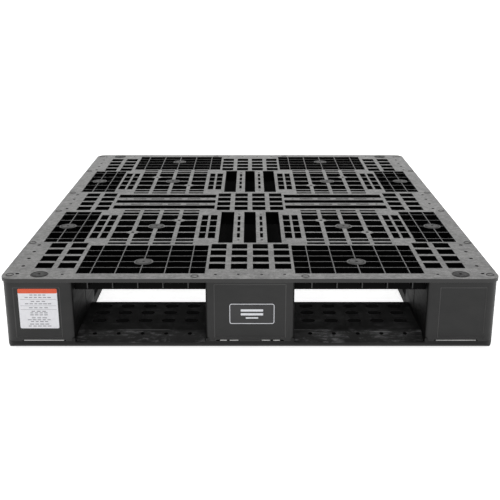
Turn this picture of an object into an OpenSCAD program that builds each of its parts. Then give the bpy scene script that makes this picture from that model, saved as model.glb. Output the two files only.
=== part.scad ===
// Rackable plastic pallet: a ribbed open deck, nine hollow blocks and a base frame with four windows.
// The origin is the centre of the footprint on the floor: +X to the right, +Y to the rear, +Z up.
// Both halves and both ends are mirror images, so most places are measured from the centre.

/* [Overall] */
// Width across the front
pallet_w = 1016; // [1010:1:1024]
// Depth from front to rear
pallet_d = 1219; // [1213:1:1227]
// Height from the floor to the top of the anti-slip plugs
pallet_h = 152.4; // [145:0.1:165]
// Radius of the deck's four corners, seen from above
deck_corner_r = 24; // [16:1:30]

/* [Deck] */
// Thickness of the deck's top plate
plate_t = 4; // [3:0.5:5]
// Depth of the webs under the plate
web_h = 29.6; // [20:0.1:35]
// Thickness of the webs
web_t = 3; // [2.5:0.5:4]
// Thickness of the ribs of the fine mesh at the ends and along the sides
mesh_rib_t = 2.2; // [2:0.1:3]
// Height of the lip around the deck's edge
lip_h = 8; // [6:0.5:12]
// Thickness of the lip
lip_t = 2.5; // [2:0.5:3]
// Depth of the gussets that carry the lip over the fork openings
gusset_h = 17; // [12:1:20]
// Distance between the main ribs
rib_pitch = 51; // [50:0.5:51.5]
// Width of the main ribs that run front to rear
main_rib_w = 10; // [8:1:12]
// Width of the main ribs that run left to right
cross_rib_w = 7; // [6:1:9]
// Width of the ribs over the blocks
block_rib_w = 12; // [11:1:13]
// Diameter of the small drain holes in the border
drain_d = 8; // [6:0.5:9]

/* [Blocks] */
// Thickness of the block walls
wall_t = 4; // [3:0.5:5]
// Thickness of the ribs inside the blocks
inner_rib_t = 3; // [2:0.5:4]
// Distance of the block faces behind the deck's edge
face_inset = 2.8; // [2.8:0.1:3.5]
// Radius of the blocks' upright corners
block_r = 9; // [6:1:12]
// Depth of the recessed panels on the outer faces
panel_depth = 1.5; // [1:0.1:2]
// Height of the snap slots at the foot of the outer faces
slot_h = 3; // [2:0.5:4]
// Width of the upright slit in the walls beside the fork openings
slit_w = 5; // [3:1:8]

/* [Base] */
// Height of the base frame where a block stands on it
base_h = 14; // [12:0.5:16]
// Height of the rails between the blocks
rail_h = 20; // [18:0.5:24]
// Height of the rails' outer edge, at the foot of the ramp
ramp_foot_h = 10; // [8:0.5:12]
// Length of the ramp that leads pallet truck wheels over a rail
ramp_l = 45; // [40:1:48]
// Thickness of the base frame's plates
base_plate_t = 4; // [3:0.5:5]
// Depth of the front and rear rails
rail_d = 208; // [190:1:230]
// Chamfer around the foot of the base frame
foot_chamfer = 5; // [3:0.5:6]
// Thickness of the base frame's outer wall
foot_wall_t = 9; // [7:0.5:10]

/* [Joints] */
// Diameter of the pegs that locate the blocks on the deck and the base
peg_d = 9; // [7:0.5:10]
// Length of the deck's pegs
deck_peg_l = 24; // [15:1:30]
// Length of the base frame's pegs
base_peg_l = 18; // [10:1:25]
// Radial clearance between a peg and its socket
peg_play = 0.3; // [0.2:0.1:0.5]
// Diameter of the socket posts inside the blocks
post_d = 15; // [14:0.5:16]

/* [Plugs] */
// Diameter of the head of an anti-slip plug
plug_d = 36; // [30:1:38]
// Thickness of the head
plug_head_t = 2.8; // [2:0.1:3]
// Height of the head above the deck
plug_proud = 0.8; // [0.4:0.1:1.2]
// Diameter of the stem
stem_d = 20; // [16:1:22]
// Length of the stem below the head
stem_l = 7; // [5:0.5:10]
// Diameter of the dimple in the head
dimple_d = 6; // [4:0.5:8]

/* [Labels] */
// Width and height of the label on the left front block
label_size = [80, 87];
// Width and height of the nameplate on the front centre block
nameplate_size = [96, 48];
// Thickness of the label and the nameplate
label_t = 0.5; // [0.3:0.1:1]

/* [Hidden] */
half_w = pallet_w / 2;
half_d = pallet_d / 2;
deck_top = pallet_h - plug_proud;
plate_z = deck_top - plate_t;
gap = 0.4;   // fitting clearance between neighbouring mouldings
over = 1;    // how far a cutter reaches past what it cuts

// Outer faces of the blocks and the base
face_x = half_w - face_inset;
face_y = half_d - face_inset;
face_r = deck_corner_r - face_inset;

// Footprints of the blocks, measured from the centre
mid_half = 91;                 // half width of the three blocks on the centre line
side_x = half_w - 146;         // inner wall of the blocks along the sides
corner_y = half_d - 245.5;     // inner wall of the corner blocks
end_y = half_d - 236.5;        // inner wall of the front and rear centre blocks

// Holes in the deck over the blocks: [start, end] intervals in X and Y
side_cols = even(half_w - 140, half_w - 57, 2, block_rib_w);
corner_rows = even(half_d - 240, half_d - 66, 4, block_rib_w);
mid_cols = even(4 - mid_half, mid_half - 4, 4, block_rib_w);
mid_rows = even(4 - mid_half, mid_half - 4, 4, block_rib_w);
end_rows = even(half_d - 232, half_d - 61, 4, block_rib_w);

// Main rib lines, in one quarter of the deck
field_x = 227.5;
field_y = 233.5;
main_x = [for (i = [-2:2]) field_x + i * rib_pitch];
main_y = [for (i = [-2:2]) field_y + i * rib_pitch];

// Coarse grid of the inner field
inner_x = [82, 375];
inner_y = [87.5, 377.5];
narrow_x = [102, 353.5];       // extra ribs near the field's left and right edges
narrow_y = [104.5, 359.5];     // extra ribs near its front and rear edges
narrow_rib_w = 6;
inner_cols = concat(
    between([inner_x[0], main_x[0] - main_rib_w / 2], [narrow_x[0]], narrow_rib_w),
    between([main_x[0] + main_rib_w / 2, main_x[4] - main_rib_w / 2],
        [main_x[1], main_x[2], main_x[3]], main_rib_w),
    between([main_x[4] + main_rib_w / 2, inner_x[1]], [narrow_x[1]], narrow_rib_w));
inner_rows = concat(
    between([inner_y[0], main_y[0] - cross_rib_w / 2], [narrow_y[0]], main_rib_w),
    between([main_y[0] + cross_rib_w / 2, main_y[4] - cross_rib_w / 2],
        [main_y[1], main_y[2], main_y[3]], cross_rib_w),
    between([main_y[4] + cross_rib_w / 2, inner_y[1]], [narrow_y[1]], main_rib_w));

// Fine mesh at the ends and along the sides
end_mesh_x = [93, 359];
end_mesh_y = [half_d - 222, half_d - 33];
end_mesh_pitch = (end_mesh_y[1] - end_mesh_y[0]) / 5;
end_mesh_lines = [for (i = [1:4]) end_mesh_y[0] + i * end_mesh_pitch];
side_mesh_x = [half_w - 127, half_w - 35];
side_mesh_y = [104.5, half_d - 248];
side_mesh_lines = [half_w - 100, half_w - 65];

// Cross arms: a slot down the middle, a slat each side of it, then an outer slot
arm_slot = 14.5;
arm_slat = 40;
arm_outer = 73;
end_arm_y = [104.5, 367.5];
side_arm_x = [93, 359];
slat_mid = (arm_slot + arm_slat) / 2;
slat_hole_l = 35;
slat_hole_w = 7;
slat_hole_pitch = 49;
slat_dot_d = 6;
slat_dot_x = 2.25 * slat_hole_pitch;

// Drain holes in the border, in one quarter
side_drain_x = half_w - 30;
side_drain_y = [24, 72, half_d - 225, half_d - 177, half_d - 130, half_d - 80, half_d - 32];
end_drain_y = half_d - 28;
end_drain_x = [24, 71, half_w - 123];

// Anti-slip plugs: places in one quarter
corner_plug = [half_w - 76, half_d - 28];
end_plug = [field_x, end_mesh_lines[2]];
side_plug = [side_mesh_lines[1], field_y];
inner_plug = [field_x, field_y];
plug_spots = [corner_plug, end_plug, side_plug, inner_plug];
plug_pad_d = plug_d + 5;
plug_seat_t = plug_head_t - plug_proud;
stem_boss_d = stem_d + 6;
plug_rim = 2;
plug_groove_w = 1.2;
plug_groove_t = 0.6;
plug_edge = 0.5;
dimple_t = 1.5;

// Diamond bosses on two crossings of the inner field, in one quarter
diamond_spots = [[main_x[3], main_y[3]], [main_x[1], main_y[1]]];
diamond_side = 26;

// Snap slots and recessed panels, from the edge of the face in
corner_panel = [side_x + 26, face_x - 23];
corner_panel_z = [22, 131];
corner_slot = [side_x + 20, face_x - 34];
corner_side_slot = [corner_y + 60, face_y - 60];
side_panel = [corner_y + 22, face_y - 26];
mid_panel = [-73, 73];
mid_panel_z = [22, 138];
mid_slots = [[-70, -22], [22, 70]];
slit_z = [base_h + 12, plate_z - 34];
slit_from_face = 140;

// Base frame
rib_grid = 76;
ramp_hole_d = 9;
ramp_hole_in = 32;
rail_hole_l = 30;
rail_hole_w = 20;
rail_hole_pitch = 50;
rail_rows = [98, 143, 182];
rail_hole_x = [for (i = [-2:2]) (mid_half + side_x) / 2 + i * rail_hole_pitch];
rail_hole_y = [for (i = [-2:2]) (mid_half + corner_y) / 2 + i * rail_hole_pitch];
side_rail_cols = [60, 103];
ramp_slope = (rail_h - ramp_foot_h) / ramp_l;
ramp_collar_h = ramp_foot_h + ramp_slope * ramp_hole_in - base_plate_t / 2;
centre_rows = [-45, 0, 45];    // rows of holes in the rails that cross at the centre

// Places and corner radii of the label and the nameplate on the front faces
label_centre = [-433, 85.3];
label_r = 3;
nameplate_centre = [4, 74];
nameplate_r = 8;

// Quarters of the pallet as [end of the name, sign of X, sign of Y]
quarters = [
    ["front_left", -1, -1], ["front_right", 1, -1],
    ["rear_left", -1, 1], ["rear_right", 1, 1]
];

// ---- Intervals -------------------------------------------------------------------

// count equal cells from a to b, with ribs between them
function even(a, b, count, rib) =
    let (cell = (b - a - (count - 1) * rib) / count)
    [for (i = [0:count - 1]) [a + i * (cell + rib), a + i * (cell + rib) + cell]];

// The cells that ribs on the given lines leave inside a span
function between(span, lines, rib) =
    [for (i = [0:len(lines)]) [
        i == 0 ? span[0] : lines[i - 1] + rib / 2,
        i == len(lines) ? span[1] : lines[i] - rib / 2
    ]];

// Middles of the ribs between cells
function mids(cells) = [for (i = [0:len(cells) - 2]) (cells[i][1] + cells[i + 1][0]) / 2];

// Corner of a rounded outline: points on an arc about c from angle a
function arc(c, r, a, steps = 6) =
    [for (i = [0:steps]) c + r * [cos(a + 90 * i / steps), sin(a + 90 * i / steps)]];

// Outline of a box in X and Y with a radius for each corner, from rear right round to front right
function outline(x, y, r) = concat(
    arc([x[1] - r[0], y[1] - r[0]], r[0], 0), arc([x[0] + r[1], y[1] - r[1]], r[1], 90),
    arc([x[0] + r[2], y[0] + r[2]], r[2], 180), arc([x[1] - r[3], y[0] + r[3]], r[3], 270));

// ---- Shared 2D shapes --------------------------------------------------------------

module box2(x, y) translate([x[0], y[0]]) square([x[1] - x[0], y[1] - y[0]]);

module cells(cols, rows) for (x = cols, y = rows) box2(x, y);

// A frame of the given thickness around the outside of a rectangle
module ring2(x, y, t) {
    difference() {
        box2([x[0] - t, x[1] + t], [y[0] - t, y[1] + t]);
        box2(x, y);
    }
}

// The children and their mirror images
module both_x() for (s = [0, 1]) mirror([s, 0, 0]) children();
module both_y() for (s = [0, 1]) mirror([0, s, 0]) children();
module four() both_x() both_y() children();

module pallet_outline(inset) {
    r = deck_corner_r - inset;
    polygon(outline([inset - half_w, half_w - inset], [inset - half_d, half_d - inset], [r, r, r, r]));
}

// ---- Blocks ------------------------------------------------------------------------

// Footprint in one quarter: X span, Y span and corner radii
corner_foot = [[side_x, face_x], [corner_y, face_y], [face_r, block_r, block_r, block_r]];
side_foot = [[side_x, face_x], [-mid_half, mid_half], [block_r, block_r, block_r, block_r]];
end_foot = [[-mid_half, mid_half], [end_y, face_y], [block_r, block_r, block_r, block_r]];
mid_foot = [[-mid_half, mid_half], [-mid_half, mid_half], [block_r, block_r, block_r, block_r]];

// Columns and rows of socket posts
outer_post_x = half_w - 24;
side_posts_x = [mids(side_cols)[0], outer_post_x];
mid_posts_x = [mids(mid_cols)[0], mids(mid_cols)[2]];
mid_posts_y = [mids(mid_rows)[0], mids(mid_rows)[2]];
corner_posts_y = [mids(corner_rows)[0], mids(corner_rows)[2]];
end_posts_y = [mids(end_rows)[0], mids(end_rows)[2]];

module foot2(foot, grow = 0) {
    radii = [for (r = foot[2]) r + grow];
    polygon(outline([foot[0][0] - grow, foot[0][1] + grow], [foot[1][0] - grow, foot[1][1] + grow], radii));
}

// All nine footprints
module all_feet(grow = 0) {
    four() foot2(corner_foot, grow);
    both_x() foot2(side_foot, grow);
    both_y() foot2(end_foot, grow);
    foot2(mid_foot, grow);
}

// The children at every post of the nine blocks
module at_posts() {
    four() for (x = side_posts_x, y = corner_posts_y) translate([x, y]) children();
    both_x() for (x = side_posts_x, y = mid_posts_y) translate([x, y]) children();
    both_y() for (x = mid_posts_x, y = end_posts_y) translate([x, y]) children();
    for (x = mid_posts_x, y = mid_posts_y) translate([x, y]) children();
}

// Hollow shell with ribs under the deck's ribs and a socket post on some crossings
module block_shell(foot, rib_x, rib_y, posts_x, posts_y) {
    socket_d = peg_d + 2 * peg_play;
    translate([0, 0, base_h])
    linear_extrude(plate_z - base_h)
    difference() {
        union() {
            difference() {
                foot2(foot);
                foot2(foot, -wall_t);
            }
            for (x = rib_x) {
                box2([x - inner_rib_t / 2, x + inner_rib_t / 2], foot[1] + [wall_t / 2, -wall_t / 2]);
            }
            for (y = rib_y) {
                box2(foot[0] + [wall_t / 2, -wall_t / 2], [y - inner_rib_t / 2, y + inner_rib_t / 2]);
            }
            for (x = posts_x, y = posts_y) translate([x, y]) circle(d = post_d, $fn = 32);
        }
        for (x = posts_x, y = posts_y) translate([x, y]) circle(d = socket_d, $fn = 32);
    }
}

// Cutters for a recess in a face that looks along +Y or +X
module panel_y(x, z) {
    translate([x[0], face_y - panel_depth, z[0]]) cube([x[1] - x[0], wall_t, z[1] - z[0]]);
}
module panel_x(y, z) {
    translate([face_x - panel_depth, y[0], z[0]]) cube([wall_t, y[1] - y[0], z[1] - z[0]]);
}

// Cutters for a snap slot at the foot of a face
module slot_y(x) {
    translate([x[0], face_y - wall_t - over, base_h - over])
    cube([x[1] - x[0], wall_t + 2 * over, slot_h + over]);
}
module slot_x(y) {
    translate([face_x - wall_t - over, y[0], base_h - over])
    cube([wall_t + 2 * over, y[1] - y[0], slot_h + over]);
}

// The corner block of the rear right quarter
module corner_block() {
    color([0.16, 0.16, 0.17])
    difference() {
        block_shell(corner_foot, mids(side_cols), mids(corner_rows), side_posts_x, corner_posts_y);
        panel_y(corner_panel, corner_panel_z);
        panel_x(side_panel, corner_panel_z);
        slot_y(corner_slot);
        slot_x(corner_side_slot);
        translate([side_x - over, face_y - slit_from_face, slit_z[0]])
        cube([wall_t + 2 * over, slit_w, slit_z[1] - slit_z[0]]);
    }
}

// The block in the middle of the right side
module side_block() {
    color([0.16, 0.16, 0.17])
    difference() {
        block_shell(side_foot, mids(side_cols), mids(mid_rows), side_posts_x, mid_posts_y);
        panel_x(mid_panel, mid_panel_z);
        for (s = mid_slots) slot_x(s);
    }
}

// The block in the middle of the rear end
module end_block() {
    color([0.16, 0.16, 0.17])
    difference() {
        block_shell(end_foot, mids(mid_cols), mids(end_rows), mid_posts_x, end_posts_y);
        panel_y(mid_panel, mid_panel_z);
        for (s = mid_slots) slot_y(s);
        for (s = [0, 1]) mirror([s, 0, 0])
            translate([mid_half - wall_t - over, face_y - slit_from_face, slit_z[0]])
            cube([wall_t + 2 * over, slit_w, slit_z[1] - slit_z[0]]);
    }
}

module centre_block() {
    color([0.16, 0.16, 0.17])
    block_shell(mid_foot, mids(mid_cols), mids(mid_rows), mid_posts_x, mid_posts_y);
}

// ---- Deck --------------------------------------------------------------------------

// Cells of the inner field: its four corners stay solid
module inner_field_cells() {
    last = len(inner_cols) - 1;
    for (i = [0:last], j = [0:last]) {
        narrow = (i < 2 || i > last - 2) && (j < 2 || j > last - 2);
        if (!narrow) box2(inner_cols[i], inner_rows[j]);
    }
}

// Long holes and dots in the slats, laid along X from the middle of an arm
module slat_holes() {
    for (i = [-1.5:1.5]) {
        translate([i * slat_hole_pitch, 0])
        square([slat_hole_l, slat_hole_w], center = true);
    }
    for (s = [-1, 1]) translate([s * slat_dot_x, 0]) circle(d = slat_dot_d, $fn = 24);
}

module deck_openings() {
    four() {
        cells(side_cols, corner_rows);
        cells(between(end_mesh_x, main_x, mesh_rib_t), between(end_mesh_y, end_mesh_lines, mesh_rib_t));
        cells(between(side_mesh_x, side_mesh_lines, mesh_rib_t), between(side_mesh_y, main_y, mesh_rib_t));
        inner_field_cells();
        box2([arm_slat, arm_outer], end_arm_y);
        box2(side_arm_x, [arm_slat, arm_outer]);
        translate([slat_mid, (end_arm_y[0] + end_arm_y[1]) / 2]) rotate(90) slat_holes();
        translate([(side_arm_x[0] + side_arm_x[1]) / 2, slat_mid]) slat_holes();
    }
    both_x() {
        cells(side_cols, mid_rows);
        box2(side_arm_x, [-arm_slot, arm_slot]);
    }
    both_y() {
        cells(mid_cols, end_rows);
        box2([-arm_slot, arm_slot], end_arm_y);
    }
    cells(mid_cols, mid_rows);
}

// Small round holes along the border
module drain_holes() {
    four() {
        for (y = side_drain_y) translate([side_drain_x, y]) circle(d = drain_d, $fn = 24);
        for (x = end_drain_x) translate([x, end_drain_y]) circle(d = slat_dot_d, $fn = 24);
        for (p = diamond_spots) translate(p) circle(d = drain_d, $fn = 24);
    }
}

module plug_bores() four() for (p = plug_spots) translate(p) circle(d = stem_d + 2 * peg_play, $fn = 48);

// The top plate with every opening in it
module deck_plate() {
    linear_extrude(plate_t)
    difference() {
        union() {
            difference() {
                pallet_outline(0);
                deck_openings();
            }
            four() {
                for (p = plug_spots) translate(p) circle(d = plug_pad_d, $fn = 48);
                for (p = diamond_spots) translate(p) rotate(45) square(diamond_side, center = true);
            }
        }
        plug_bores();
        drain_holes();
    }
}

// Webs under the plate, between the blocks
module deck_webs() {
    half = web_t / 2;
    thin = mesh_rib_t / 2;
    linear_extrude(web_h)
    difference() {
        union() {
            four() {
                ring2(end_mesh_x, end_mesh_y, web_t);
                ring2(side_mesh_x, side_mesh_y, web_t);
                ring2(inner_x, inner_y, web_t);
                ring2([arm_slat, arm_outer], end_arm_y, web_t);
                ring2(side_arm_x, [arm_slat, arm_outer], web_t);
                for (x = main_x) {
                    box2([x - half, x + half], inner_y);
                    box2([x - thin, x + thin], end_mesh_y);
                }
                for (y = main_y) {
                    box2(inner_x, [y - half, y + half]);
                    box2(side_mesh_x, [y - thin, y + thin]);
                }
                for (y = end_mesh_lines) box2(end_mesh_x, [y - thin, y + thin]);
                for (x = side_mesh_lines) box2([x - thin, x + thin], side_mesh_y);
                for (p = [end_plug, side_plug, inner_plug]) translate(p) circle(d = stem_boss_d, $fn = 48);
            }
            both_x() ring2(side_arm_x, [-arm_slot, arm_slot], web_t);
            both_y() ring2([-arm_slot, arm_slot], end_arm_y, web_t);
        }
        all_feet(gap);
        plug_bores();
    }
}

// Short webs from the edge of the mesh out to the lip
module deck_gussets() {
    half = mesh_rib_t / 2;
    linear_extrude(gusset_h)
    four() {
        for (x = main_x) box2([x - half, x + half], [end_mesh_y[1], half_d - lip_t / 2]);
        for (y = main_y) box2([side_mesh_x[1], half_w - lip_t / 2], [y - half, y + half]);
    }
}

module top_deck() {
    color([0.42, 0.42, 0.41])
    difference() {
        union() {
            translate([0, 0, plate_z]) deck_plate();
            translate([0, 0, plate_z - web_h]) deck_webs();
            translate([0, 0, plate_z - gusset_h]) deck_gussets();
            translate([0, 0, deck_top - lip_h])
            linear_extrude(lip_h - plate_t)
            difference() {
                pallet_outline(0);
                pallet_outline(lip_t);
            }
            translate([0, 0, plate_z - deck_peg_l])
            linear_extrude(deck_peg_l)
            at_posts() circle(d = peg_d, $fn = 32);
        }
        four() for (p = plug_spots) {
            translate([p[0], p[1], deck_top - plug_seat_t])
            cylinder(h = plug_seat_t + over, d = plug_d + 2 * peg_play, $fn = 64);
        }
    }
}

// ---- Base --------------------------------------------------------------------------

// Footprint of the frame, with its four windows
module frame2() {
    difference() {
        pallet_outline(face_inset);
        four() box2([mid_half, side_x], [mid_half, half_d - rail_d]);
    }
}

// The rails: everything outside the blocks, less the ramps
module rails2() {
    difference() {
        frame2();
        all_feet(gap);
        ramps2(over);
    }
}

// Strips that the ramps cover
module ramps2(past) {
    four() {
        box2([mid_half, side_x], [face_y - ramp_l, face_y + past]);
        box2([face_x - ramp_l, face_x + past], [mid_half, corner_y]);
    }
}

// An oblong along X, grown by a wall
module oblong2(grow) {
    flat = rail_hole_l - rail_hole_w;
    square([flat, rail_hole_w + 2 * grow], center = true);
    for (s = [-1, 1]) translate([s * flat / 2, 0]) circle(d = rail_hole_w + 2 * grow, $fn = 32);
}

// Oblong holes in the rails, or their collars when grown by a wall
module rail_holes2(grow = 0) {
    four() {
        for (x = rail_hole_x, d = rail_rows) translate([x, half_d - d]) oblong2(grow);
        for (y = rail_hole_y, d = side_rail_cols) translate([face_x - d, y]) rotate(90) oblong2(grow);
    }
    both_x() for (x = rail_hole_x, y = centre_rows) translate([x, y]) oblong2(grow);
    both_y() for (y = rail_hole_y, x = centre_rows) translate([x, y]) rotate(90) oblong2(grow);
}

// Walls around the frame and its windows, and ribs across it
module base_ribs2() {
    nx = floor(half_w / rib_grid);
    ny = floor(half_d / rib_grid);
    intersection() {
        frame2();
        union() {
            difference() {
                pallet_outline(face_inset);
                pallet_outline(face_inset + foot_wall_t);
            }
            four() ring2([mid_half, side_x], [mid_half, half_d - rail_d], wall_t);
            for (i = [-nx:nx]) box2([i * rib_grid - web_t / 2, i * rib_grid + web_t / 2], [-half_d, half_d]);
            for (i = [-ny:ny]) box2([-half_w, half_w], [i * rib_grid - web_t / 2, i * rib_grid + web_t / 2]);
        }
    }
}

// Walls of the raised rails where they meet a block
module rail_ends2() {
    intersection() {
        frame2();
        difference() {
            all_feet(wall_t);
            all_feet(gap);
        }
    }
}

// Profile of a ramp, from the outer edge in: the outer wall and the sloping plate
module ramp_profile() {
    plate_foot = ramp_foot_h - base_plate_t;
    polygon([
        [0, 0], [0, ramp_foot_h], [ramp_l, rail_h], [ramp_l, rail_h - base_plate_t],
        [foot_wall_t, plate_foot + foot_wall_t * ramp_slope], [foot_wall_t, 0]
    ]);
}

// Profile of what the chamfer around the foot takes away
module chamfer_profile() {
    polygon([[-over, -over], [foot_chamfer + over, -over], [-over, foot_chamfer + over]]);
}

// Runs a profile along a front or rear ramp
module along_end(span) {
    translate([span[0], face_y, 0]) rotate([90, 0, 90]) mirror([1, 0, 0])
    linear_extrude(span[1] - span[0]) children();
}

// Runs a profile along a side ramp
module along_side(span) {
    translate([face_x, span[1], 0]) rotate([90, 0, 0]) mirror([1, 0, 0])
    linear_extrude(span[1] - span[0]) children();
}

// Rows of round holes through the ramps, or their collars when grown by a wall
module ramp_holes2(grow = 0) {
    four() {
        for (x = rail_hole_x) translate([x, face_y - ramp_hole_in]) circle(d = ramp_hole_d + 2 * grow, $fn = 24);
        for (y = rail_hole_y) translate([face_x - ramp_hole_in, y]) circle(d = ramp_hole_d + 2 * grow, $fn = 24);
    }
}

module base_frame() {
    color([0.13, 0.13, 0.13])
    difference() {
        union() {
            // Plates: the rails', then the lower ones under the blocks
            translate([0, 0, rail_h - base_plate_t])
            linear_extrude(base_plate_t)
            difference() {
                rails2();
                rail_holes2();
            }
            translate([0, 0, base_h - base_plate_t])
            linear_extrude(base_plate_t)
            intersection() {
                frame2();
                all_feet(wall_t / 2);
            }
            // Ribs: under the ramps, under the blocks, then under the rails
            linear_extrude(ramp_foot_h - base_plate_t)
            difference() {
                base_ribs2();
                rail_holes2();
            }
            linear_extrude(base_h - base_plate_t)
            difference() {
                base_ribs2();
                rail_holes2();
                ramps2(over);
            }
            linear_extrude(rail_h - base_plate_t)
            difference() {
                union() {
                    base_ribs2();
                    rail_ends2();
                    rail_holes2(web_t);
                }
                rail_holes2();
                all_feet(gap);
                ramps2(over);
            }
            linear_extrude(ramp_collar_h) ramp_holes2(web_t / 2);
            four() {
                along_end([mid_half, side_x]) ramp_profile();
                along_side([mid_half, corner_y]) ramp_profile();
            }
            translate([0, 0, base_h])
            linear_extrude(base_peg_l)
            at_posts() circle(d = peg_d, $fn = 32);
        }
        translate([0, 0, -over]) linear_extrude(rail_h + 2 * over) ramp_holes2();
        both_y() along_end([-half_w, half_w]) chamfer_profile();
        both_x() along_side([-half_d, half_d]) chamfer_profile();
    }
}

// ---- Trim --------------------------------------------------------------------------

// Anti-slip plug: a dimpled head with a raised rim, and a stem
module plug() {
    head_r = plug_d / 2;
    groove_r = head_r - plug_rim;
    color([0.2, 0.2, 0.2])
    translate([0, 0, pallet_h])
    rotate_extrude($fn = 64)
    polygon([
        [0, -plug_head_t - stem_l], [stem_d / 2, -plug_head_t - stem_l], [stem_d / 2, -plug_head_t],
        [head_r, -plug_head_t], [head_r, -plug_edge], [head_r - plug_edge, 0],
        [groove_r, 0], [groove_r, -plug_groove_t], [groove_r - plug_groove_w, -plug_groove_t],
        [groove_r - plug_groove_w, 0], [dimple_d / 2, 0], [dimple_d / 2, -dimple_t], [0, -dimple_t]
    ]);
}

// A thin rounded plate on the front face's recessed panels
module front_plate(centre, size, r) {
    translate([centre[0], panel_depth - face_y, centre[1]])
    rotate([90, 0, 0])
    linear_extrude(label_t)
    polygon(outline([-size[0] / 2, size[0] / 2], [-size[1] / 2, size[1] / 2], [r, r, r, r]));
}

module label() color([0.93, 0.93, 0.94]) front_plate(label_centre, label_size, label_r);
module nameplate() color([0.9, 0.9, 0.9]) front_plate(nameplate_centre, nameplate_size, nameplate_r);

// Moves a piece made for the rear right quarter to another quarter
module in_quarter(q) mirror([q[1] < 0 ? 1 : 0, 0, 0]) mirror([0, q[2] < 0 ? 1 : 0, 0]) children();

top_deck();
base_frame();
centre_block();
mirror([0, 1, 0]) end_block();  // end_block_front
end_block();  // end_block_rear
mirror([1, 0, 0]) side_block();  // side_block_left
side_block();  // side_block_right
label();
nameplate();
for (q = quarters) {
    in_quarter(q) corner_block();
    in_quarter(q) translate(corner_plug) plug();
    in_quarter(q) translate(end_plug) plug();
    in_quarter(q) translate(side_plug) plug();
    in_quarter(q) translate(inner_plug) plug();
}
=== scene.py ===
"""Looks of the plastic pallet: materials, bevels, moulded marks, label print, floor, light and camera."""
import math
import random

import bmesh
import bpy
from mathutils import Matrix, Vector


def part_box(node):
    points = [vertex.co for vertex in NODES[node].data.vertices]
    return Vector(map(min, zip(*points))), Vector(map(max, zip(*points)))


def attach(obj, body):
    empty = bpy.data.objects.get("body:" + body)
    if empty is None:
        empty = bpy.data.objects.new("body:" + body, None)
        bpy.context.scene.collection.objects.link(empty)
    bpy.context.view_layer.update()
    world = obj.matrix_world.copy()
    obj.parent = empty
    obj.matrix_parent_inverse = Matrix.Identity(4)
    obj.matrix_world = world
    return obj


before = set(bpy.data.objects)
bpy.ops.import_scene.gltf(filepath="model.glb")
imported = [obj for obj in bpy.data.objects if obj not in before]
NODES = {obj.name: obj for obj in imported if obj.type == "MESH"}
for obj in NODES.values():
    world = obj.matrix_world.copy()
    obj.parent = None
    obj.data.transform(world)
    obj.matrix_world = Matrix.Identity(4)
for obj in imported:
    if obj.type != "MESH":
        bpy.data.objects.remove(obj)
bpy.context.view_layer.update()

MM = 0.001
SEED = 11
DECK_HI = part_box("top_deck")[1]
BASE_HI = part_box("base_frame")[1]
LABEL_LO, LABEL_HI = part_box("label")
PLATE_LO, PLATE_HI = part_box("nameplate")
HALF_W, HALF_D = DECK_HI.x, DECK_HI.y
DECK_TOP = DECK_HI.z

scene = bpy.context.scene
rng = random.Random(SEED)


# ---- Node helpers --------------------------------------------------------------------

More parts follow.
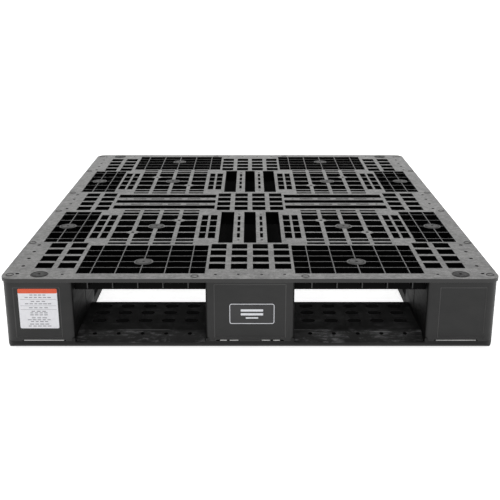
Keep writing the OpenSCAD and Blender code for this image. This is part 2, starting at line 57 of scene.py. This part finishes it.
class Graph:
    """A material's node tree, with short calls for the nodes used here."""

    def __init__(self, name):
        self.material = bpy.data.materials.new(name)
        self.material.use_nodes = True
        self.tree = self.material.node_tree
        self.shader = self.tree.nodes["Principled BSDF"]
        self.place = self.tree.nodes.new("ShaderNodeTexCoord").outputs["Object"]

    def link(self, value, socket):
        """Joins a socket to another, or sets it to a constant."""
        if isinstance(value, bpy.types.NodeSocket):
            self.tree.links.new(value, socket)
        else:
            socket.default_value = value

    def stretched(self, scale):
        """Object coordinates times a scale on each axis."""
        node = self.tree.nodes.new("ShaderNodeMapping")
        self.link(self.place, node.inputs["Vector"])
        node.inputs["Scale"].default_value = scale
        return node.outputs["Vector"]

    def noise(self, scale, detail=3.0, rough=0.55, vector=None, distortion=0.0):
        node = self.tree.nodes.new("ShaderNodeTexNoise")
        self.link(vector or self.place, node.inputs["Vector"])
        node.inputs["Scale"].default_value = scale
        node.inputs["Detail"].default_value = detail
        node.inputs["Roughness"].default_value = rough
        node.inputs["Distortion"].default_value = distortion
        return node.outputs["Fac"]

    def cells(self, scale):
        """Distance to the nearest of many scattered points."""
        node = self.tree.nodes.new("ShaderNodeTexVoronoi")
        self.link(self.place, node.inputs["Vector"])
        node.inputs["Scale"].default_value = scale
        return node.outputs["Distance"]

    def remap(self, value, low, high, to_low=0.0, to_high=1.0):
        """Smooth step from one range to another."""
        node = self.tree.nodes.new("ShaderNodeMapRange")
        node.interpolation_type = "SMOOTHSTEP"
        self.link(value, node.inputs["Value"])
        for key, number in zip(("From Min", "From Max", "To Min", "To Max"), (low, high, to_low, to_high)):
            node.inputs[key].default_value = number
        return node.outputs["Result"]

    def math(self, operation, first, second=0.0):
        node = self.tree.nodes.new("ShaderNodeMath")
        node.operation = operation
        self.link(first, node.inputs[0])
        self.link(second, node.inputs[1])
        return node.outputs[0]

    def mix(self, factor, first, second):
        """Blend of two colours."""
        node = self.tree.nodes.new("ShaderNodeMix")
        node.data_type = "RGBA"
        self.link(factor, node.inputs["Factor"])
        self.link(first, node.inputs["A"])
        self.link(second, node.inputs["B"])
        return node.outputs["Result"]

    def quarter(self):
        """|x| and |y|: the pallet's four quarters mirror each other, so one stands for all."""
        node = self.tree.nodes.new("ShaderNodeSeparateXYZ")
        self.link(self.place, node.inputs["Vector"])
        return [self.math("ABSOLUTE", node.outputs[name]) for name in ("X", "Y")]

    def inside(self, x, y, box):
        """1 within a rectangle of (x0, x1, y0, y1), else 0."""
        steps = [(x, "GREATER_THAN", box[0]), (x, "LESS_THAN", box[1]),
                 (y, "GREATER_THAN", box[2]), (y, "LESS_THAN", box[3])]
        tests = [self.math(way, value, limit) for value, way, limit in steps]
        return self.math("MULTIPLY", self.math("MULTIPLY", *tests[:2]), self.math("MULTIPLY", *tests[2:]))

    def bump(self, height, distance, strength=1.0, under=None):
        node = self.tree.nodes.new("ShaderNodeBump")
        self.link(height, node.inputs["Height"])
        node.inputs["Distance"].default_value = distance
        node.inputs["Strength"].default_value = strength
        if under is not None:
            self.link(under, node.inputs["Normal"])
        return node.outputs["Normal"]

    def finish(self, color, roughness, normal, specular):
        self.link(color, self.shader.inputs["Base Color"])
        self.link(roughness, self.shader.inputs["Roughness"])
        self.link(normal, self.shader.inputs["Normal"])
        self.shader.inputs["Specular IOR Level"].default_value = specular
        return self.material


WARM = (1.0, 0.99, 0.96)
COOL = (1.0, 1.0, 1.02)


def grey(level, tint=(1.0, 1.0, 1.0)):
    return (level * tint[0], level * tint[1], level * tint[2], 1.0)


# ---- Materials -----------------------------------------------------------------------

# Fine meshes of the deck, as (x0, x1, y0, y1) in metres in one quarter; they are darker than the rest
END_MESH = (0.0932, 0.3588, 0.3877, 0.5763)
SIDE_MESH = (0.3812, 0.4728, 0.1047, 0.3613)
MESH_SHADE = 0.7

# Crease where the ramps meet the rails, measured in from the base's edge, and the half width over
# which its painted highlight line fades out
RAMP_LENGTH = 45 * MM
CREASE_FULL, CREASE_NONE = 0.8 * MM, 2.2 * MM


def scuffs(g, amount):
    """How worn each place is: patches of drag marks."""
    patches = g.remap(g.noise(22.0, 6.0, 0.75, distortion=0.8), 0.44, 0.62)
    streaks = g.remap(g.noise(70.0, 6.0, 0.8, g.stretched((0.35, 2.2, 1.0)), 0.3), 0.44, 0.62)
    return g.math("MULTIPLY", g.math("MULTIPLY", patches, streaks), amount)


def painted_crease_highlight(g):
    """1 on the crease at the head of each ramp, where a highlight is painted, broken up along its length,
    else 0.
    """
    x, y = g.quarter()
    off_x = g.math("ABSOLUTE", g.math("SUBTRACT", x, BASE_HI.x - RAMP_LENGTH))
    off_y = g.math("ABSOLUTE", g.math("SUBTRACT", y, BASE_HI.y - RAMP_LENGTH))
    line = g.remap(g.math("MINIMUM", off_x, off_y), CREASE_FULL, CREASE_NONE, 1.0, 0.0)
    return g.math("MULTIPLY", line, g.remap(g.noise(13.0, 4.0), 0.44, 0.56))


def moulded_plastic(name, dark, pale, rough, specular, scuff=0.0, scuff_level=0.2, crease_highlight_level=0.0):
    """Recycled plastic: cloudy colour, flow marks and fine grain, with scuffs and a painted highlight on
    the ramps' crease if asked for.
    """
    g = Graph(name)
    clouds = g.noise(5.0, 4.0, 0.6, distortion=0.4)
    flow = g.noise(9.0, 5.0, 0.65, g.stretched((1.0, 1.0, 6.0)), 1.2)
    color = g.mix(g.remap(clouds, 0.3, 0.7), grey(dark), grey(pale, (1.0, 0.99, 0.975)))
    roughness = g.remap(flow, 0.25, 0.75, rough - 0.07, rough + 0.07)
    if scuff:
        worn = scuffs(g, scuff)
        color = g.mix(worn, color, grey(scuff_level, COOL))
        roughness = g.math("ADD", roughness, g.math("MULTIPLY", worn, 0.15))
    # Painted highlight: a lighter line along the crease at the head of each ramp
    if crease_highlight_level:
        color = g.mix(painted_crease_highlight(g), color, grey(crease_highlight_level))
    fine = g.bump(g.noise(1500.0, 2.0), 0.05 * MM, 0.35)
    peel = g.bump(g.noise(260.0, 2.0), 0.1 * MM, 0.4, fine)
    sink = g.bump(clouds, 0.6 * MM, 0.5, peel)
    return g.finish(color, roughness, sink, specular)


def deck_surface(name, dark, pale, rough, specular):
    """The deck's walked-on face: greyed, pitted and dusty, with blotches and drag marks."""
    g = Graph(name)
    sand = g.remap(g.noise(330.0, 3.0, 0.7), 0.36, 0.64)
    coarse = g.remap(g.noise(110.0, 4.0, 0.7), 0.34, 0.66)
    blotch = g.remap(g.noise(16.0, 6.0, 0.7, distortion=0.8), 0.35, 0.7)
    drag = g.remap(g.noise(40.0, 6.0, 0.8, g.stretched((0.3, 2.4, 1.0)), 0.3), 0.45, 0.75)
    grain = g.math("ADD", g.math("MULTIPLY", sand, 0.45), g.math("MULTIPLY", coarse, 0.55))
    color = g.mix(grain, grey(dark), grey(pale, WARM))
    color = g.mix(g.math("MULTIPLY", blotch, 0.35), color, grey(dark * 1.1))
    color = g.mix(g.math("MULTIPLY", drag, 0.3), color, grey(pale * 1.3, WARM))
    roughness = g.remap(sand, 0.0, 1.0, rough - 0.06, rough + 0.08)
    roughness = g.math("ADD", roughness, g.math("MULTIPLY", blotch, 0.06))
    x, y = g.quarter()
    mesh = g.math("MAXIMUM", g.inside(x, y, END_MESH), g.inside(x, y, SIDE_MESH))
    color = g.mix(g.math("MULTIPLY", mesh, MESH_SHADE), color, grey(dark * 0.3))
    fine = g.bump(sand, 0.25 * MM, 0.5)
    return g.finish(color, roughness, g.bump(coarse, 0.3 * MM, 0.35, fine), specular)


def rubber(name, level):
    """Matt rubber with a fine knurl and patches of dust."""
    g = Graph(name)
    clouds = g.noise(60.0, 4.0)
    color = g.mix(g.remap(clouds, 0.35, 0.7), grey(level * 0.75), grey(level * 1.3, WARM))
    roughness = g.remap(g.noise(180.0), 0.3, 0.7, 0.55, 0.75)
    knurl = g.bump(g.cells(900.0), 0.2 * MM, 0.6)
    return g.finish(color, roughness, g.bump(clouds, 0.3 * MM, 0.4, knurl), 0.35)


def vinyl(name, color):
    """Printed film: almost even colour, faint mottle, and the slight waves of a sticker on a moulding."""
    g = Graph(name)
    mottle = g.noise(140.0, 4.0)
    dim = tuple(0.93 * c for c in color)
    tone = g.mix(g.remap(mottle, 0.35, 0.75), (*color, 1.0), (*dim, 1.0))
    roughness = g.remap(g.noise(45.0), 0.3, 0.7, 0.29, 0.45)
    waves = g.bump(g.noise(35.0, 2.0), 0.3 * MM, 0.35)
    return g.finish(tone, roughness, waves, 0.45)


FLOOR_GLOW = 0.76


def floor_paint():
    """A white light table: it glows a little, so shadows on it stay pale; from below it is clear."""
    g = Graph("pale_floor")
    tone = g.mix(g.remap(g.noise(1.5, 4.0), 0.3, 0.7), grey(0.90), grey(0.93))
    g.shader.inputs["Emission Color"].default_value = (1.0, 1.0, 1.0, 1.0)
    g.shader.inputs["Emission Strength"].default_value = FLOOR_GLOW
    roughness = g.remap(g.noise(12.0), 0.3, 0.7, 0.7, 0.85)
    g.finish(tone, roughness, g.bump(g.noise(300.0), 0.1 * MM, 0.2), 0.2)
    nodes = g.tree.nodes
    clear, either = nodes.new("ShaderNodeBsdfTransparent"), nodes.new("ShaderNodeMixShader")
    g.link(nodes.new("ShaderNodeNewGeometry").outputs["Backfacing"], either.inputs["Fac"])
    g.link(g.shader.outputs["BSDF"], either.inputs[1])
    g.link(clear.outputs["BSDF"], either.inputs[2])
    g.link(either.outputs["Shader"], nodes["Material Output"].inputs["Surface"])
    return g.material


DECK_TOP_FACE = deck_surface("deck_top", 0.035, 0.24, 0.42, 0.5)
DECK_SKIRT = moulded_plastic("deck_skirt", 0.016, 0.026, 0.42, 0.4)
# Painted shade: the deck's inside faces are made far darker than its plastic
DECK_INNER_SHADE = moulded_plastic("deck_inner_shade", 0.0015, 0.003, 0.6, 0.05)
# Painted highlight: the ends of the webs in the fork openings stay lighter than the shaded inside
WEB_END_HIGHLIGHT = moulded_plastic("web_end_highlight", 0.018, 0.036, 0.45, 0.4)
# Painted highlight: the deck's rounded edges get a much lighter tone
DECK_EDGE_HIGHLIGHT = moulded_plastic("deck_edge_highlight", 0.10, 0.17, 0.4, 0.5)
BLOCK_FACE = moulded_plastic("block_face", 0.008, 0.016, 0.42, 0.33)
# Painted shade: the blocks' inside faces are made darker than their outer faces
BLOCK_INNER_SHADE = moulded_plastic("block_inner_shade", 0.003, 0.005, 0.6, 0.15)
# Painted highlight on the blocks' rounded edges
BLOCK_EDGE_HIGHLIGHT = moulded_plastic("block_edge_highlight", 0.03, 0.05, 0.38, 0.5)
BASE_SIDE = moulded_plastic("base_side", 0.004, 0.008, 0.45, 0.25)
BASE_TOP = moulded_plastic("base_top", 0.005, 0.010, 0.5, 0.2, 0.7, 0.07, 0.14)
BASE_RAMP = moulded_plastic("base_ramp", 0.009, 0.017, 0.45, 0.3, 0.9, 0.2, 0.14)
# Painted shade: the base's insides and underside are made darker than its outer sides
BASE_INNER_SHADE = moulded_plastic("base_inner_shade", 0.003, 0.005, 0.6, 0.12)
# Painted highlight on the base's rounded edges
BASE_EDGE_HIGHLIGHT = moulded_plastic("base_edge_highlight", 0.05, 0.09, 0.4, 0.5)
# Painted highlight: near-white bars stand for the light seen in the slots at the blocks' feet
SNAP_HIGHLIGHT = moulded_plastic("snap_highlight", 0.35, 0.75, 0.35, 0.5)
CORNER_RUBBER = rubber("corner_rubber", 0.022)
PAD_RUBBER = rubber("pad_rubber", 0.07)
# Painted shade: the plugs' dimples and grooves are made near black
DIMPLE_SHADE = rubber("dimple_shade", 0.004)
LABEL_FILM = vinyl("label_film", (0.76, 0.76, 0.79))
PLATE_FILM = vinyl("plate_film", (0.016, 0.016, 0.017))
ORANGE_INK = vinyl("orange_ink", (0.70, 0.085, 0.022))
GREY_INK = vinyl("grey_ink", (0.20, 0.20, 0.22))
WHITE_INK = vinyl("white_ink", (0.72, 0.73, 0.77))

# The last finish of each list is for the rounded edges: a lighter tone that paints highlights along them
DECK_FINISHES = [DECK_TOP_FACE, DECK_SKIRT, DECK_INNER_SHADE, WEB_END_HIGHLIGHT, DECK_EDGE_HIGHLIGHT]
BASE_FINISHES = [BASE_TOP, BASE_RAMP, BASE_SIDE, BASE_INNER_SHADE, BASE_EDGE_HIGHLIGHT]
BLOCK_FINISHES = [BLOCK_FACE, BLOCK_INNER_SHADE, BLOCK_EDGE_HIGHLIGHT]


# ---- CAD nodes -----------------------------------------------------------------------

EDGE_ANGLE = math.radians(40)
WELD_REACH = 1e-6
DECK_BEVEL, BASE_BEVEL, BLOCK_BEVEL, SMALL_BEVEL = 0.4 * MM, 0.6 * MM, 1.2 * MM, 0.15 * MM

DECK_SKIN = 3 * MM
SKIRT_HEIGHT = 12 * MM
RIM_X, RIM_Y = HALF_W - 28 * MM, HALF_D - 28 * MM
WEB_END_Y = RIM_Y - 12 * MM
THIN_WEB = 3.2 * MM
BLOCK_X, BLOCK_Y = BASE_HI.x - 12 * MM, BASE_HI.y - 12 * MM
PLUG_RIM = 1.9 * MM
DIMPLE_FROM, DIMPLE_TO = 0.05 * MM, 2 * MM


def soften(obj, width, segments=1, edge_slot=-1):
    """Rounds the sharp edges a little, as moulded edges are; edge_slot is the rounded edges' finish."""
    weld = obj.modifiers.new("weld", "WELD")
    weld.merge_threshold = WELD_REACH
    bevel = obj.modifiers.new("bevel", "BEVEL")
    bevel.width = width
    bevel.segments = segments
    bevel.limit_method = "ANGLE"
    bevel.angle_limit = EDGE_ANGLE
    bevel.harden_normals = True
    bevel.use_clamp_overlap = True
    bevel.material = edge_slot
    obj.data.shade_smooth()
    even = obj.modifiers.new("even_normals", "WEIGHTED_NORMAL")
    even.keep_sharp = True


def paint(obj, finishes, choose):
    """Gives each face of a node the finish that choose(mesh, face) picks."""
    mesh = obj.data
    mesh.materials.clear()
    for finish in finishes:
        mesh.materials.append(finish)
    for face in mesh.polygons:
        face.material_index = finishes.index(choose(mesh, face))


def x_width(mesh, face):
    xs = [mesh.vertices[i].co.x for i in face.vertices]
    return max(xs) - min(xs)


def faces_out(face):
    """Whether a face looks away from the pallet's middle axis."""
    return face.normal.x * face.center.x + face.normal.y * face.center.y > 0


def beyond(face, x, y):
    """Whether a face lies past either of two distances from the middle."""
    return abs(face.center.x) > x or abs(face.center.y) > y


def deck_finish(mesh, face):
    """Top, skirt, the ends of the webs that show in the fork openings, lighter as a painted highlight, or
    the inside, darkened as painted shade.
    """
    if face.normal.z > 0.9 and face.center.z > DECK_TOP - DECK_SKIN:
        return DECK_TOP_FACE
    rim = beyond(face, HALF_W - DECK_SKIN, HALF_D - DECK_SKIN)
    corner = abs(face.center.x) > RIM_X and abs(face.center.y) > RIM_Y
    if (rim or corner) and faces_out(face) and face.center.z > DECK_TOP - SKIRT_HEIGHT:
        return DECK_SKIRT
    # Web ends near the rim get the painted highlight, the rest of the inside the painted shade
    end_on = abs(face.normal.y) > 0.9 and x_width(mesh, face) < THIN_WEB
    return WEB_END_HIGHLIGHT if end_on and abs(face.center.y) > WEB_END_Y else DECK_INNER_SHADE


def block_finish(mesh, face):
    # Outer faces keep the plastic's tone; every other face gets painted shade
    return BLOCK_FACE if beyond(face, BLOCK_X, BLOCK_Y) and faces_out(face) else BLOCK_INNER_SHADE


def base_finish(mesh, face):
    """Flat tops, ramps, the outer sides, or the insides and the underside, darkened as painted shade."""
    slope = face.normal.z
    if slope >= 0.995:
        return BASE_TOP
    if slope > 0.5:
        return BASE_RAMP
    return BASE_SIDE if beyond(face, BLOCK_X, BLOCK_Y) and faces_out(face) and slope > -0.9 else BASE_INNER_SHADE


def plug_finish(name, head):
    """Makes a choice between the head's rubber and the painted shade in its dimple and groove."""
    lo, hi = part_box(name)
    middle = (lo + hi) / 2
    groove_r = (hi.x - lo.x) / 2 - PLUG_RIM

    def choose(mesh, face):
        off = (face.center - middle).to_2d().length
        sunk = DIMPLE_FROM < hi.z - face.center.z < DIMPLE_TO
        return DIMPLE_SHADE if sunk and off < groove_r else head
    return choose


paint(NODES["top_deck"], DECK_FINISHES, deck_finish)
soften(NODES["top_deck"], DECK_BEVEL, 1, len(DECK_FINISHES) - 1)
paint(NODES["base_frame"], BASE_FINISHES, base_finish)
soften(NODES["base_frame"], BASE_BEVEL, 1, len(BASE_FINISHES) - 1)
for name, node in NODES.items():
    if "block" in name:
        paint(node, BLOCK_FINISHES, block_finish)
        soften(node, BLOCK_BEVEL, 2, len(BLOCK_FINISHES) - 1)
    elif "plug" in name:
        head = CORNER_RUBBER if name.startswith("corner") else PAD_RUBBER
        paint(node, [head, DIMPLE_SHADE], plug_finish(name, head))
        soften(node, SMALL_BEVEL)
for name, finish in (("label", LABEL_FILM), ("nameplate", PLATE_FILM)):
    paint(NODES[name], [finish], lambda mesh, face: finish)
    soften(NODES[name], SMALL_BEVEL)


# ---- Small pieces --------------------------------------------------------------------

def piece(name, bm, material):
    """Makes a piece of the object from a bmesh, which it frees."""
    bmesh.ops.recalc_face_normals(bm, faces=bm.faces)
    mesh = bpy.data.meshes.new(name)
    bm.to_mesh(mesh)
    bm.free()
    obj = bpy.data.objects.new(name, mesh)
    scene.collection.objects.link(obj)
    mesh.materials.append(material)
    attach(obj, "root")
    return obj


def bridge(bm, here, there):
    """Joins two rings of points with a band of faces."""
    count = len(here)
    for i in range(count):
        j = (i + 1) % count
        bm.faces.new((here[i], here[j], there[j], there[i]))


# Dial rings on the deck's border: how far in each is from the deck's side and end, in mm
RING_INSETS = ((16, 26), (11, 243), (13, 515), (395, 17))
RING_OUTER, RING_INNER, RING_HIGH, RING_DRAFT = 8.5 * MM, 6.3 * MM, 0.6 * MM, 0.3 * MM
RING_ROOT = 0.2 * MM
RING_STEPS = 40


def lathe(bm, centre, profile):
    """Turns a closed profile of (radius, height) points about a vertical axis."""
    rows = []
    for i in range(RING_STEPS):
        turn = math.tau * i / RING_STEPS
        rows.append([
            bm.verts.new((centre[0] + r * math.cos(turn), centre[1] + r * math.sin(turn), centre[2] + h))
            for r, h in profile
        ])
    for here, there in zip(rows, rows[1:] + rows[:1]):
        bridge(bm, here, there)


def dial_rings():
    """Raised dial rings along the edge of the deck."""
    profile = [(RING_INNER, -RING_ROOT), (RING_INNER + RING_DRAFT, RING_HIGH),
               (RING_OUTER - RING_DRAFT, RING_HIGH), (RING_OUTER, -RING_ROOT)]
    bm = bmesh.new()
    for inset_x, inset_y in RING_INSETS:
        for sx in (-1, 1):
            for sy in (-1, 1):
                x, y = sx * (HALF_W - inset_x * MM), sy * (HALF_D - inset_y * MM)
                lathe(bm, (x, y, DECK_TOP), profile)
    piece("dial_rings", bm, BASE_SIDE).data.shade_smooth()


# Snap edges in the slots at the blocks' feet: each runs between two distances from the middle, in mm
SLOT_HEIGHT = 3 * MM
SNAP_END_SPANS = ((385, 468), (48, 62), (24, 42))
SNAP_SIDE_SPANS = ((428, 542), (48, 62), (24, 42))
SNAP_INSET = 1.3 * MM
SNAP_DEEP, SNAP_HIGH = 1.5 * MM, 0.8 * MM
CHAMFER = 0.35
END_TAPER = 0.7


def bar(bm, centre, half):
    """A bar with chamfered long edges and tapered ends, given by its centre and half sizes."""
    cx, cy, cz = centre
    hx, hy, hz = half
    along_x = hx > hy
    deep, long = (hy, hx) if along_x else (hx, hy)
    cut = CHAMFER * hz
    section = [(-deep, -hz + cut), (-deep + cut, -hz), (deep - cut, -hz), (deep, -hz + cut),
               (deep, hz - cut), (deep - cut, hz), (-deep + cut, hz), (-deep, hz - cut)]
    ends = []
    for t in (-long, -long + cut, long - cut, long):
        shrink = END_TAPER if abs(t) == long else 1.0
        ring = []
        for u, w in section:
            dx, dy = (t, u * shrink) if along_x else (u * shrink, t)
            ring.append(bm.verts.new((cx + dx, cy + dy, cz + w * shrink)))
        ends.append(ring)
    for near, far in zip(ends, ends[1:]):
        bridge(bm, near, far)
    bm.faces.new(ends[0])
    bm.faces.new(ends[-1])


def snap_tabs():
    """The snaps' edges in the slots at the feet of the blocks, made near white as a painted highlight where
    light shows through the slots.
    """
    slot_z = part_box("corner_block_front_left")[0].z + SLOT_HEIGHT / 2
    end_y, side_x = BASE_HI.y - SNAP_INSET, BASE_HI.x - SNAP_INSET
    bm = bmesh.new()
    for sy in (-1, 1):
        for sx in (-1, 1):
            for x0, x1 in SNAP_END_SPANS:
                middle, reach = (x0 + x1) / 2 * MM, (x1 - x0) / 2 * MM
                bar(bm, (sx * middle, sy * end_y, slot_z), (reach, SNAP_DEEP, SNAP_HIGH))
            for y0, y1 in SNAP_SIDE_SPANS:
                middle, reach = (y0 + y1) / 2 * MM, (y1 - y0) / 2 * MM
                bar(bm, (sx * side_x, sy * middle, slot_z), (SNAP_DEEP, reach, SNAP_HIGH))
    piece("snap_tabs", bm, SNAP_HIGHLIGHT)


INK = 0.08 * MM
CORNER_STEPS = 5


def rounded_outline(x0, z0, x1, z1, radius):
    """Points of a rounded rectangle in the X-Z plane."""
    points = []
    corners = ((x1 - radius, z1 - radius, 0), (x0 + radius, z1 - radius, 90),
               (x0 + radius, z0 + radius, 180), (x1 - radius, z0 + radius, 270))
    for cx, cz, start in corners:
        for i in range(CORNER_STEPS + 1):
            a = math.radians(start + 90 * i / CORNER_STEPS)
            points.append((cx + radius * math.cos(a), cz + radius * math.sin(a)))
    return points


def film(bm, y_back, x0, z0, x1, z1, radius, frame_width=None):
    """A thin closed plate of ink that faces -Y, or only a frame of the width given."""
    loops = [rounded_outline(x0, z0, x1, z1, radius)]
    if frame_width:
        w = frame_width
        loops.append(rounded_outline(x0 + w, z0 + w, x1 - w, z1 - w, max(radius - w, radius * 0.3)))
    front = [[bm.verts.new((x, y_back - INK, z)) for x, z in loop] for loop in loops]
    back = [[bm.verts.new((x, y_back, z)) for x, z in loop] for loop in loops]
    for f, b in zip(front, back):
        bridge(bm, f, b)
    for side in (front, back):
        if frame_width:
            bridge(bm, *side)
        else:
            bm.faces.new(side[0])


def film_piece(name, plates, y_back, material):
    bm = bmesh.new()
    for plate in plates:
        film(bm, y_back, *plate)
    piece(name, bm, material)


# Label: shares of its height and width; each row of grey bars is (height, width), and each bar fills a
# random part of its share of the row
BAND_SHARE = 0.115
BAND_CORNER = 2.8 * MM
RULES = (0.735, 0.575, 0.48)
RULE_WIDTH, RULE_THICK = 0.92, 0.5 * MM
ROWS = ((0.845, 0.44), (0.785, 0.70), (0.685, 0.42), (0.625, 0.70), (0.525, 0.52), (0.435, 0.42),
        (0.395, 0.48), (0.345, 0.48), (0.27, 0.42), (0.22, 0.62), (0.175, 0.48), (0.11, 0.52), (0.06, 0.62))
BARS_PER_WIDTH = 8
BAR_THICK = 1.7 * MM
BAR_CORNER = 0.3 * MM
BAR_FILL = (0.6, 0.82)


def label_print():
    """An orange band, three ruled lines and grey bars: a generic form with no lettering."""
    lo, hi = LABEL_LO, LABEL_HI
    width, height = hi.x - lo.x, hi.z - lo.z
    band = (lo.x, hi.z - height * BAND_SHARE, hi.x, hi.z, BAND_CORNER)
    film_piece("label_band", [band], lo.y, ORANGE_INK)

    def strip(share, across, tall, shift=0.0):
        x, z = (lo.x + hi.x) / 2 + shift * width, lo.z + share * height
        half = across * width / 2
        return (x - half, z - tall / 2, x + half, z + tall / 2, min(BAR_CORNER, tall * 0.45))

    strips = [strip(share, RULE_WIDTH, RULE_THICK) for share in RULES]
    for share, across in ROWS:
        count = max(2, round(across * BARS_PER_WIDTH))
        span = across / count
        for i in range(count):
            shift = span * (i + 0.5) - across / 2
            strips.append(strip(share, span * rng.uniform(*BAR_FILL), BAR_THICK, shift))
    film_piece("label_bars", strips, lo.y, GREY_INK)


# Nameplate, in mm: its frame's inset, corner and width, and each bar's (height above the middle, half
# width, thickness)
PLATE_FRAME = (2.0, 4.5, 1.3)
PLATE_BARS = ((7.5, 23.0, 5.0), (-1.0, 23.0, 5.0), (-9.0, 13.0, 3.0))
PLATE_BAR_CORNER = 1.0


def nameplate_print():
    """A thin frame and three plain bars."""
    lo, hi = PLATE_LO, PLATE_HI
    inset, corner, width = (v * MM for v in PLATE_FRAME)
    plates = [(lo.x + inset, lo.z + inset, hi.x - inset, hi.z - inset, corner, width)]
    x, middle_z = (lo.x + hi.x) / 2, (lo.z + hi.z) / 2
    for rise, half, thick in PLATE_BARS:
        z, reach, up = middle_z + rise * MM, half * MM, thick / 2 * MM
        plates.append((x - reach, z - up, x + reach, z + up, PLATE_BAR_CORNER * MM))
    film_piece("nameplate_print", plates, lo.y, WHITE_INK)


dial_rings()
snap_tabs()
label_print()
nameplate_print()


# ---- Floor, light and camera ---------------------------------------------------------

FLOOR_REACH = 40.0
FLOOR_Z = -0.3 * MM

# The sky is white up to just above the horizon and dimmer overhead: (height, strength) at both ends
SKY_LOW, SKY_HIGH = (0.02, 1.0), (0.30, 0.42)

# Camera read from the photo's vanishing lines
LENS, SENSOR = 62.06, 36.0
CAMERA_PLACE = (0.0, -2.246, 0.747)
CAMERA_DIP = 18.07


def floor():
    mesh = bpy.data.meshes.new("floor")
    corners = [(-1, -1), (1, -1), (1, 1), (-1, 1)]
    mesh.from_pydata([(x * FLOOR_REACH, y * FLOOR_REACH, FLOOR_Z) for x, y in corners], [], [(0, 1, 2, 3)])
    obj = bpy.data.objects.new("floor", mesh)
    scene.collection.objects.link(obj)
    mesh.materials.append(floor_paint())


def softbox(name, place, target, size, power):
    data = bpy.data.lights.new(name, "AREA")
    data.shape = "RECTANGLE"
    data.size, data.size_y = size
    data.energy = power
    obj = bpy.data.objects.new(name, data)
    scene.collection.objects.link(obj)
    obj.location = place
    obj.rotation_euler = (Vector(target) - Vector(place)).to_track_quat("-Z", "Y").to_euler()


def studio():
    world = bpy.data.worlds.new("studio")
    scene.world = world
    world.use_nodes = True
    tree = world.node_tree
    sky = tree.nodes["Background"]
    sky.inputs["Color"].default_value = (1.0, 1.0, 1.0, 1.0)
    height = tree.nodes.new("ShaderNodeSeparateXYZ")
    fade = tree.nodes.new("ShaderNodeMapRange")
    fade.interpolation_type = "SMOOTHSTEP"
    fade.inputs["From Min"].default_value, fade.inputs["To Min"].default_value = SKY_LOW
    fade.inputs["From Max"].default_value, fade.inputs["To Max"].default_value = SKY_HIGH
    tree.links.new(tree.nodes.new("ShaderNodeTexCoord").outputs["Generated"], height.inputs["Vector"])
    tree.links.new(height.outputs["Z"], fade.inputs["Value"])
    tree.links.new(fade.outputs["Result"], sky.inputs["Strength"])
    softbox("overhead", place=(0.0, 0.8, 3.2), target=(0.0, 0.0, 0.0), size=(3.5, 3.0), power=60.0)
    softbox("rear", place=(0.0, 6.0, 2.4), target=(0.0, 0.0, 0.1), size=(9.0, 3.0), power=80.0)


def camera():
    data = bpy.data.cameras.new("camera")
    data.sensor_width = SENSOR
    data.lens = LENS
    data.clip_start, data.clip_end = 0.05, 200.0
    obj = bpy.data.objects.new("camera", data)
    scene.collection.objects.link(obj)
    obj.location = CAMERA_PLACE
    obj.rotation_euler = (math.radians(90 - CAMERA_DIP), 0.0, 0.0)
    scene.camera = obj


floor()
studio()
camera()
scene.view_settings.view_transform = "Standard"
